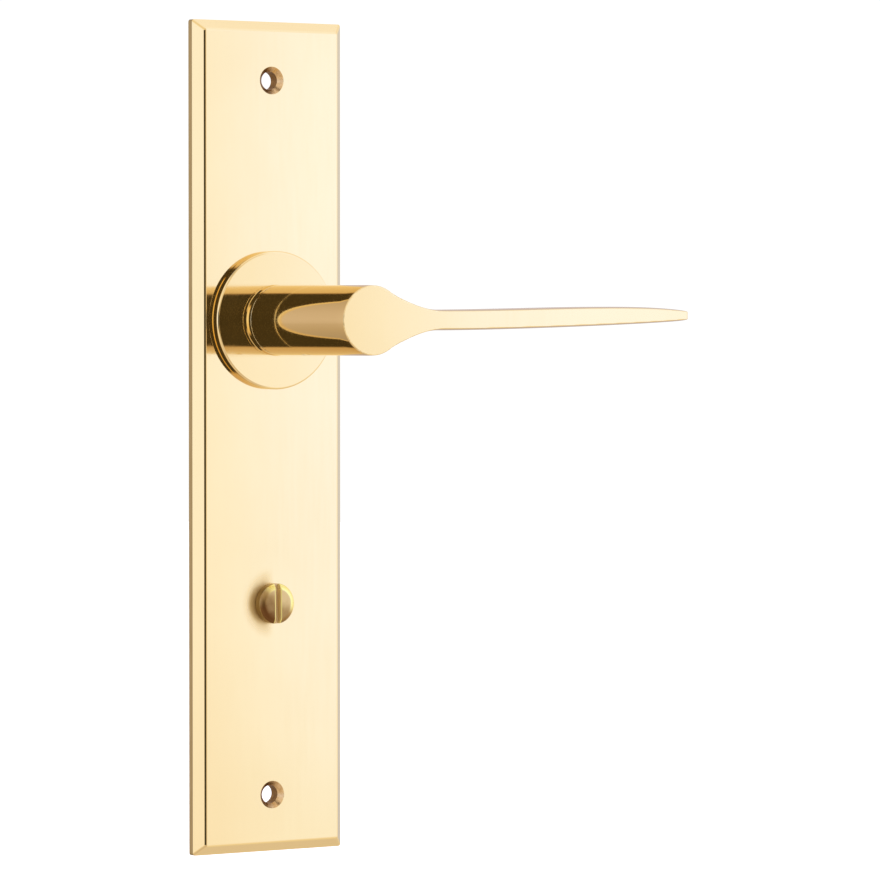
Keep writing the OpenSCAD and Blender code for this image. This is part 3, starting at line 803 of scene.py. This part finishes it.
YELLOW_BRASS, PALE_BRASS = (0.915, 0.70, 0.325), (0.945, 0.735, 0.355)
HAZE_R, HAZE_ROUGHNESS, HAZE_FROM, HAZE_TO = 11.0, 0.45, 1, -3
# The turn's colour is painted lighter towards this direction, up and to the right, as if lit from there
LATHE_PITCH, PAINTED_LIGHT_TOWARDS = 0.16, (0.6, 0.8)
# Distances in from the head's rim, and out from the slot's wall, where the rim's painted highlight, the
# side wall's painted shade, the slot's tan and the lips' painted highlights begin and where they are
# complete
RIM_HIGHLIGHT_IN, WALL_SHADE_IN, SLOT_OUT, LIP_HIGHLIGHT_OUT = (1.9, 1.4), (0.10, 0.02), (0.1, -0.05), (0.4, 0.25)
# The turn's colour ramp, from a brown that carries painted shade at the lower left to a tan that carries
# painted light at the upper right
PATINA_AND_SHADE_BROWN, TAN, TAN_AND_PAINTED_LIGHT = (0.20, 0.09, 0.026), (0.46, 0.29, 0.10), (0.76, 0.56, 0.24)
# The yellow of the painted highlights on the rim and the slot's lips, the slot's tan, and the brown of the
# painted shade on the side wall
PAINTED_HIGHLIGHT_YELLOW, SLOT_TAN, WALL_PAINTED_SHADE = (0.97, 0.84, 0.27), (0.66, 0.46, 0.22), (0.50, 0.36, 0.16)


def around_turn(nodes, place):
    """A place's (x, y, z) from the release turn's axis, and its distance from it."""
    moved = nodes.add("ShaderNodeMapping", {"Vector": place, "Location": (0, 0, -TURN_Z * MM)})
    part = nodes.add("ShaderNodeSeparateXYZ", {"Vector": moved.outputs["Vector"]}).outputs
    squares = [nodes.math("POWER", part[axis], 2.0) for axis in "XZ"]
    return part, nodes.math("SQRT", nodes.math("ADD", *squares))


def polished_brass():
    material, nodes, place, shader = new_material("polished_brass")
    tone = nodes.noise(place, 18, 3)
    streaks = nodes.noise(place, 900, 4, stretch=(1, 1, 0.06))
    ripples = nodes.noise(place, 110, 1)
    shader.inputs["Metallic"].default_value = 1.0
    nodes.feed(shader.inputs["Base Color"], nodes.ramp(tone, [(0.3, YELLOW_BRASS), (0.7, PALE_BRASS)]))
    # Fingers and coins have dulled the plate to the left of the release turn
    part, radius = around_turn(nodes, place)
    haze = nodes.math("MULTIPLY", nodes.smooth(radius, HAZE_R * MM, TURN_R * MM),
                      nodes.smooth(part["X"], HAZE_FROM * MM, HAZE_TO * MM))
    rough = nodes.vary(streaks, 0.05, 0.085)
    nodes.feed(shader.inputs["Roughness"],
               nodes.math("ADD", rough, nodes.math("MULTIPLY", haze, HAZE_ROUGHNESS)))
    normal = nodes.bump(ripples, 3e-6)
    nodes.feed(shader.inputs["Normal"], nodes.bump(streaks, 2e-8, under=normal))
    return material


def turned_brass():
    """Duller brass, with fine rings from the lathe, a browned mottled patina and a paler slot, and with
    painted light: lighter to the upper right and darker to the lower left, a painted highlight along the
    upper right of its rim and along the slot's lips, and painted shade on the head's side wall."""
    material, nodes, place, shader = new_material("turned_brass")
    part, radius = around_turn(nodes, place)
    rings = nodes.math("SINE", nodes.math("MULTIPLY", radius, 2 * math.pi / (LATHE_PITCH * MM)))
    patina = nodes.noise(place, 260, 4)
    # Painted light: with its patina, the colour runs from brown at the lower left to light tan at the upper
    # right
    towards_painted_light = nodes.math("ADD", *(nodes.math("MULTIPLY", part[axis], share / (TURN_R * MM))
                                      for axis, share in zip("XZ", PAINTED_LIGHT_TOWARDS)))
    tone = nodes.math("ADD", nodes.between(towards_painted_light, -1, 1, 0, 1),
                      nodes.vary(patina, -0.12, 0.12))
    colour = nodes.ramp(tone, [(0.15, PATINA_AND_SHADE_BROWN), (0.45, TAN), (0.75, TAN_AND_PAINTED_LIGHT)])
    # Painted shade: a thin brown line on the head's side wall
    wall = nodes.smooth(radius, *((TURN_R - inwards) * MM for inwards in WALL_SHADE_IN))
    # Painted highlight: bright yellow along the upper right of the rim
    rim = nodes.math("MULTIPLY", nodes.smooth(radius, *((TURN_R - inwards) * MM for inwards in RIM_HIGHLIGHT_IN)),
                     nodes.smooth(towards_painted_light, 0.0, 0.45))
    aside = nodes.math("ABSOLUTE", part["X"])
    slot = nodes.smooth(aside, *((SLOT_HALF + outwards) * MM for outwards in SLOT_OUT))
    # Painted highlights: bright yellow along both lips of the slot
    lip_highlights = nodes.smooth(aside, *((SLOT_HALF + outwards) * MM for outwards in LIP_HIGHLIGHT_OUT))
    lip_highlights = nodes.math("SUBTRACT", lip_highlights, slot)
    # The painted highlights, the painted shade and the slot's tan, laid over the colour
    for factor, tint in ((rim, PAINTED_HIGHLIGHT_YELLOW), (wall, WALL_PAINTED_SHADE), (slot, SLOT_TAN), (lip_highlights, PAINTED_HIGHLIGHT_YELLOW)):
        colour = nodes.mix(factor, colour, tint)
    nodes.feed(shader.inputs["Base Color"], colour)
    nodes.feed(shader.inputs["Metallic"], nodes.between(slot, 0, 1, 1.0, 0.5))
    nodes.feed(shader.inputs["Roughness"], nodes.between(rim, 0, 1, 0.38, 0.26))
    normal = nodes.bump(rings, 8e-7)
    nodes.feed(shader.inputs["Normal"], nodes.bump(patina, 6e-6, under=normal))
    return material


def metal(name, light, dark, rough, grain_scale=700, stretch=(1, 1, 1), depth=1e-6):
    """Plain metal with a grain: its two tones, its roughness, and the size and depth of the grain."""
    material, nodes, place, shader = new_material(name)
    grain = nodes.noise(place, grain_scale, 4, stretch)
    shader.inputs["Metallic"].default_value = 1.0
    nodes.feed(shader.inputs["Base Color"], nodes.ramp(grain, [(0.35, dark), (0.65, light)]))
    nodes.feed(shader.inputs["Roughness"], nodes.vary(grain, rough - 0.05, rough + 0.07))
    nodes.feed(shader.inputs["Normal"], nodes.bump(grain, depth))
    return material


def plastic(name, light, dark, rough):
    material, nodes, place, shader = new_material(name)
    grain = nodes.noise(place, 1500, 3)
    shader.inputs["IOR"].default_value = 1.48
    nodes.feed(shader.inputs["Base Color"], nodes.ramp(grain, [(0.3, dark), (0.7, light)]))
    nodes.feed(shader.inputs["Roughness"], nodes.vary(grain, rough - 0.06, rough + 0.06))
    nodes.feed(shader.inputs["Normal"], nodes.bump(grain, 2e-6))
    return material


# ---------------------------------------------------------------- studio

# Directions round the object, in degrees to the right of the plate's front, with how bright the
# studio is there: large panels to the left and the front right, dimmer between them, grey behind.
AROUND = [(-180, 0.50), (-148, 0.595), (-120, 0.76), (-95, 1.12), (-62, 1.24), (-51, 1.05), (3.5, 0.75),
          (7.5, 0.85), (20, 0.90), (28, 0.95), (29.8, 1.0), (30.7, 1.07), (31.2, 1.19), (31.6, 1.267),
          (32.2, 1.29), (38, 1.31), (50, 1.25), (80, 1.16), (100, 1.06), (126, 0.73), (148, 0.62),
          (180, 0.50)]
# The same against height above the horizon
UPWARDS = [(-90, 0.66), (-60, 0.66), (-36, 0.67), (-20, 0.78), (-6.5, 0.885), (-5, 0.94), (-3.6, 0.965),
           (-1, 0.985), (1, 1.005), (12, 0.985), (20, 0.94), (34, 0.86), (55, 1.0), (90, 0.92)]
# High above and far below, the brightness is the same on all sides
CAP_FROM, CAP_TO, CAP_LIGHT = 48, 66, 1.10
# Where the studio is dark: a low band round the camera, and a spot above it. What is reflected twice, as
# in the neck by way of the rose, also finds a dark ring round the plate's front, wider high up.
GAP_AROUND = [(-51, 0.0), (-47, 1.0), (3.5, 1.0), (7.5, 0.0)]
GAP_UP, GAP_RING = [(8, 1.0), (11, 0.0)], [(24, 0.0), (28, 1.0), (37, 1.0), (40, 0.0)]
GAP_WIDE, GAP_HIGH = [(36, 0.0), (40, 1.0), (58, 1.0), (62, 0.0)], [(22, 0.0), (34, 1.0)]
GAP_SPOT, GAP_SPOT_SIZE, GAP_LIGHT = (-43, 60), [(8, 1.0), (13, 0.0)], 0.05
# Light from the right is cooler
RIGHT_TINT = [(100, (1, 1, 1)), (118, (0.84, 0.95, 1.2)), (135, (0.84, 0.95, 1.2)), (150, (1, 1, 1))]
# Brightness against the light's colour: it is cooler where it is brighter
LIGHT = [(0.0, (0, 0, 0)), (0.05, (0.063, 0.055, 0.043)), (0.35, (0.41, 0.33, 0.28)),
         (0.48, (0.555, 0.445, 0.36)), (0.60, (0.69, 0.58, 0.55)), (0.73, (0.80, 0.73, 0.71)),
         (0.88, (0.96, 0.88, 0.79)), (1.06, (1.05, 1.06, 1.26)), (1.17, (1.08, 1.17, 1.57)),
         (1.26, (1.10, 1.26, 2.0)), (1.40, (1.20, 1.40, 2.2))]
LEVEL_TOP, LIGHT_TOP = LIGHT[-1][0], 2.2
TINT_TOP = max(max(tint) for _, tint in RIGHT_TINT)
WHITE = 1.05


def heading(turn, rise):
    """Direction that is so many degrees to the right of the plate's front, and so many up."""
    level, up = polar(1, rise)
    out, right = polar(level, turn)
    return right, -out, up


def open_light(nodes, turn, rise, height):
    """Brightness of the studio in each direction without its dark parts, as a part of LEVEL_TOP."""
    around = nodes.angles(turn, [(a, level / LEVEL_TOP) for a, level in AROUND], -180, 360)
    upwards = nodes.angles(rise, [(a, level / LEVEL_TOP) for a, level in UPWARDS], -90)
    cap = nodes.between(height, CAP_FROM / 180, CAP_TO / 180, 0.0, 1.0)
    level = nodes.blend(cap, around, CAP_LIGHT / LEVEL_TOP)
    return nodes.math("MULTIPLY", level, nodes.math("MULTIPLY", upwards, LEVEL_TOP))


def dark_part(nodes, towards, turn, height, bounces):
    """1 where the studio is dark, and 0 elsewhere."""
    off_front = nodes.angle_from(towards, heading(0, 0))
    high_ring = nodes.math("MULTIPLY", nodes.angles(off_front, GAP_WIDE), nodes.angles(height, GAP_HIGH))
    ring = nodes.math("MAXIMUM", nodes.angles(off_front, GAP_RING), high_ring)
    reflected_twice = nodes.math("GREATER_THAN", bounces, 1.5)
    ring = nodes.math("MULTIPLY", ring, reflected_twice)
    gap = nodes.math("MULTIPLY", nodes.math("MAXIMUM", ring, nodes.angles(height, GAP_UP)),
                     nodes.angles(turn, GAP_AROUND, -180, 360))
    off_spot = nodes.angle_from(towards, heading(*GAP_SPOT))
    return nodes.math("MAXIMUM", gap, nodes.angles(off_spot, GAP_SPOT_SIZE))


def light_colour(nodes, level, turn):
    """Colour of the light for its brightness and its side, as a part of LIGHT_TOP times TINT_TOP."""
    shade = nodes.ramp(level, [(a / LEVEL_TOP, tuple(c / LIGHT_TOP for c in tint)) for a, tint in LIGHT])
    sides = [(a, tuple(c / TINT_TOP for c in tint)) for a, tint in RIGHT_TINT]
    tint = nodes.angles(turn, sides, -180, 360)
    product = nodes.add("ShaderNodeVectorMath", {0: shade, 1: tint}, operation="MULTIPLY")
    return product.outputs["Vector"]


def build_world():
    world = bpy.data.worlds.new("studio")
    bpy.context.scene.world = world
    world.use_nodes = True
    nodes = Nodes(world.node_tree)
    towards = nodes.add("ShaderNodeTexCoord").outputs["Generated"]
    part = nodes.add("ShaderNodeSeparateXYZ", {"Vector": towards}).outputs
    turn = nodes.math("ARCTAN2", part["X"], nodes.math("MULTIPLY", part["Y"], -1.0))
    turn = nodes.between(turn, -math.pi, math.pi, 0.0, 1.0)
    rise = nodes.between(nodes.math("ARCSINE", part["Z"]), -math.pi / 2, math.pi / 2, 0.0, 1.0)
    height = nodes.math("ABSOLUTE", nodes.math("SUBTRACT", rise, 0.5))
    path = nodes.add("ShaderNodeLightPath").outputs
    gap = dark_part(nodes, towards, turn, height, path["Glossy Depth"])
    level = nodes.blend(gap, open_light(nodes, turn, rise, height), GAP_LIGHT / LEVEL_TOP)
    colour = light_colour(nodes, level, turn)
    studio = nodes.add("ShaderNodeBackground", {"Color": colour, "Strength": LIGHT_TOP * TINT_TOP})
    white = nodes.add("ShaderNodeBackground", {"Color": (1, 1, 1, 1), "Strength": WHITE})
    seen = nodes.blend_shaders(path["Is Camera Ray"], studio.outputs["Background"],
                               white.outputs["Background"])
    nodes.add("ShaderNodeOutputWorld", {"Surface": seen})


FLOOR_GAP, FLOOR_R = 25.0, 3000.0
SUN_ENERGY, SUN_WIDTH, SUN_FORWARD, SUN_ASIDE = 3.2, 70, 12, -10


def build_floor():
    """Pale floor just under the plate. Its underside lets the camera through."""
    mesh = bpy.data.meshes.new("studio_floor")
    level = PLATE_LOW[2] - FLOOR_GAP
    mesh.from_pydata([(x * MM, y * MM, level * MM) for x, y in circle(FLOOR_R)], [], [range(FINE)])
    floor = add_object("studio_floor", mesh)
    floor.visible_glossy = False
    material = bpy.data.materials.new("pale_floor")
    material.use_nodes = True
    nodes = Nodes(material.node_tree)
    place = nodes.add("ShaderNodeTexCoord").outputs["Object"]
    tone = nodes.ramp(nodes.noise(place, 3, 2), [(0.3, 0.84), (0.7, 0.86)])
    paint = nodes.add("ShaderNodeBsdfDiffuse", {"Color": tone})
    clear = nodes.add("ShaderNodeBsdfTransparent")
    under = nodes.add("ShaderNodeNewGeometry").outputs["Backfacing"]
    seen = nodes.blend_shaders(under, paint.outputs["BSDF"], clear.outputs["BSDF"])
    nodes.add("ShaderNodeOutputMaterial", {"Surface": seen})
    mesh.materials.append(material)


def build_overhead_light():
    """Very soft light from above, for the floor and the matt parts."""
    lamp = bpy.data.lights.new("overhead", "SUN")
    lamp.energy, lamp.angle = SUN_ENERGY, math.radians(SUN_WIDTH)
    light = add_object("overhead", lamp)
    light.rotation_euler = (math.radians(SUN_FORWARD), math.radians(SUN_ASIDE), 0)
    light.visible_glossy = False


# The camera stands to the left of the plate's front and looks a little to the right and down
CAMERA_AT = (-0.7856, -1.2609, 0.0011)
CAMERA_YAW, CAMERA_PITCH, CAMERA_LENS, SENSOR = 33.904, 1.384, 209.2, 36


def build_camera():
    data = bpy.data.cameras.new("camera")
    data.lens, data.sensor_width = CAMERA_LENS, SENSOR
    camera = add_object("camera", data)
    camera.location = CAMERA_AT
    camera.rotation_euler = (math.radians(90 - CAMERA_PITCH), 0, math.radians(-CAMERA_YAW))
    bpy.context.scene.camera = camera


# ---------------------------------------------------------------- the scene

brasses = [
    polished_brass(),
    metal("machined_brass", (0.63, 0.51, 0.26), (0.54, 0.43, 0.20), 0.32, grain_scale=2600,
          stretch=(1, 1, 0.05), depth=2e-6),
    metal("countersunk_brass", (0.88, 0.60, 0.29), (0.62, 0.39, 0.16), 0.28, grain_scale=900, depth=3e-6),
    metal("drilled_brass", (0.40, 0.24, 0.09), (0.24, 0.13, 0.045), 0.36, grain_scale=900, depth=3e-6),
]
build_backplate(brasses)
build_rose(brasses)
build_lever(brasses)
build_release_turn([turned_brass()])

zinc = metal("zinc_plated_steel", (0.68, 0.69, 0.635), (0.565, 0.575, 0.525), 0.30, grain_scale=1400)
bright_steel = metal("drawn_steel", (0.54, 0.545, 0.49), (0.40, 0.405, 0.365), 0.36, grain_scale=2000,
                     stretch=(1, 0.04, 1))
black_steel = metal("blackened_steel", (0.15, 0.15, 0.16), (0.10, 0.10, 0.11), 0.36)
dark_acetal = plastic("dark_acetal", (0.030, 0.028, 0.026), (0.018, 0.017, 0.016), 0.45)
pale_acetal = plastic("pale_acetal", (0.86, 0.84, 0.76), (0.80, 0.78, 0.70), 0.42)
FINISHES = {
    "thrust_washer": dark_acetal, "lever_bush": pale_acetal, "release_bush": pale_acetal,
    "spring_driver": zinc, "spring_cover": zinc, "cover_screws": zinc, "release_stop_washer": zinc,
    "spring_anchor_pin": bright_steel, "rest_stop_pin": bright_steel, "end_stop_pin": bright_steel,
    "release_cross_pin": bright_steel, "lever_spindle": bright_steel, "release_tail_bar": bright_steel,
    "return_spring": black_steel, "lever_circlip": black_steel, "release_circlip": black_steel,
    "release_wave_washer": black_steel, "spindle_grub_screw": black_steel,
}
for name, finish in FINISHES.items():
    frame["nodes"][name].data.materials.clear()
    frame["nodes"][name].data.materials.append(finish)

build_world()
build_floor()
build_overhead_light()
build_camera()
bpy.context.scene.view_settings.view_transform = "Standard"
